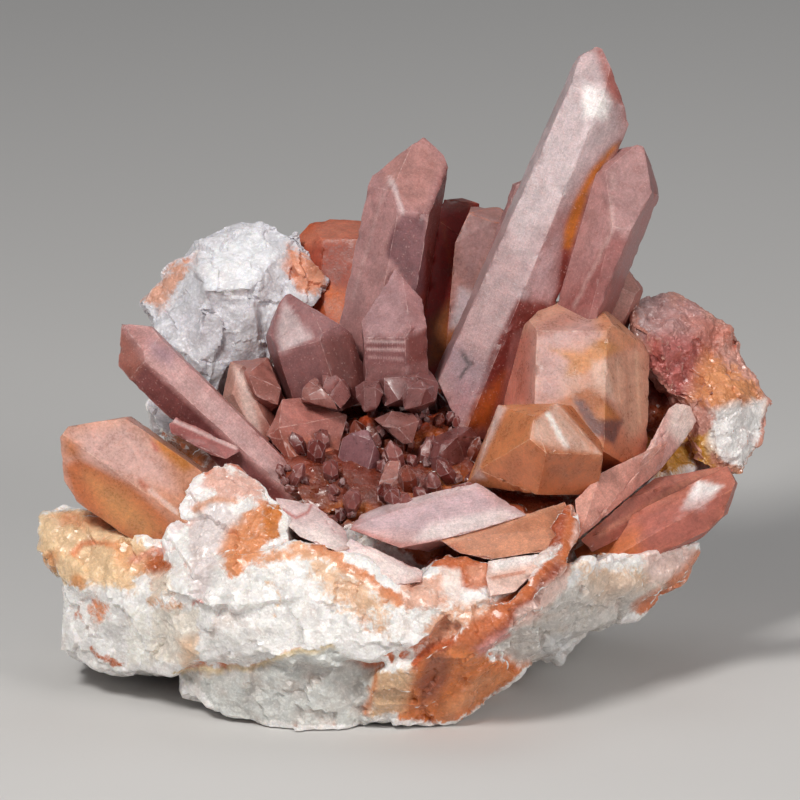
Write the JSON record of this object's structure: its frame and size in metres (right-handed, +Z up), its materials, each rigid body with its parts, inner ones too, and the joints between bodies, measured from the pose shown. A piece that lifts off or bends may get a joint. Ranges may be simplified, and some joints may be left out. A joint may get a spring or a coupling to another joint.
{
  "type": "hematoid quartz cluster",
  "caption": "Cluster of pink, orange and red prismatic quartz crystals standing on a rough milky quartz matrix with a level base.",
  "frame": {"origin": "bottom centre of the cluster's box, on the ground plane that its level base rests on", "axes": "+X to the cluster's right as seen from its display side, along its longest extent; +Y away from the viewer, its shortest extent; +Z up"},
  "size_m": [0.0878, 0.066, 0.0724],
  "materials": {
    "milky_quartz": "rough sugary milky quartz with orange iron stains",
    "white_quartz": "broken white quartz, grey-white with orange rims",
    "pale_pink_crystal": "satin pale pink crystal faces with fine striations",
    "mauve_crystal": "satin mauve-pink crystal faces with pale edges",
    "orange_crystal": "satin orange and pink crystal faces",
    "red_orange_crystal": "glossy dark red to orange crystal",
    "druse_crystal": "glossy mauve-brown small crystals with silvery edges",
    "crusted_quartz": "granular red, orange and grey-white crust"
  },
  "bodies": {
    "root": {"back_crystals": "red_orange_crystal", "back_left_crystal": "red_orange_crystal", "centre_crystals": "mauve_crystal", "curved_blade_crystal": "pale_pink_crystal", "druse_centre_crystals": "druse_crystal", "druse_column": "druse_crystal", "druse_front_crystal": "druse_crystal", "druse_left_crystal": "druse_crystal", "druse_low_left_crystal": "druse_crystal", "druse_low_right_crystal": "druse_crystal", "druse_prism": "druse_crystal", "druse_right_crystal": "druse_crystal", "druse_tiny_crystal": "druse_crystal", "druse_upper_left_crystal": "druse_crystal", "front_left_slab": "pale_pink_crystal", "front_slab": "pale_pink_crystal", "front_step_slab": "pale_pink_crystal", "left_centre_crystal": "mauve_crystal", "left_orange_crystal": "orange_crystal", "left_plate_crystal": "mauve_crystal", "left_small_crystals": "mauve_crystal", "long_blade_crystal": "pale_pink_crystal", "matrix": "milky_quartz", "pink_stubby_crystal": "mauve_crystal", "red_crusted_block": "crusted_quartz", "right_back_crystal": "mauve_crystal", "right_front_prism": "red_orange_crystal", "right_rear_prism": "red_orange_crystal", "right_stubby_pair": "orange_crystal", "right_tall_crystal": "mauve_crystal", "tall_crystal": "pale_pink_crystal", "white_block": "white_quartz"}
  },
  "joints": []
}
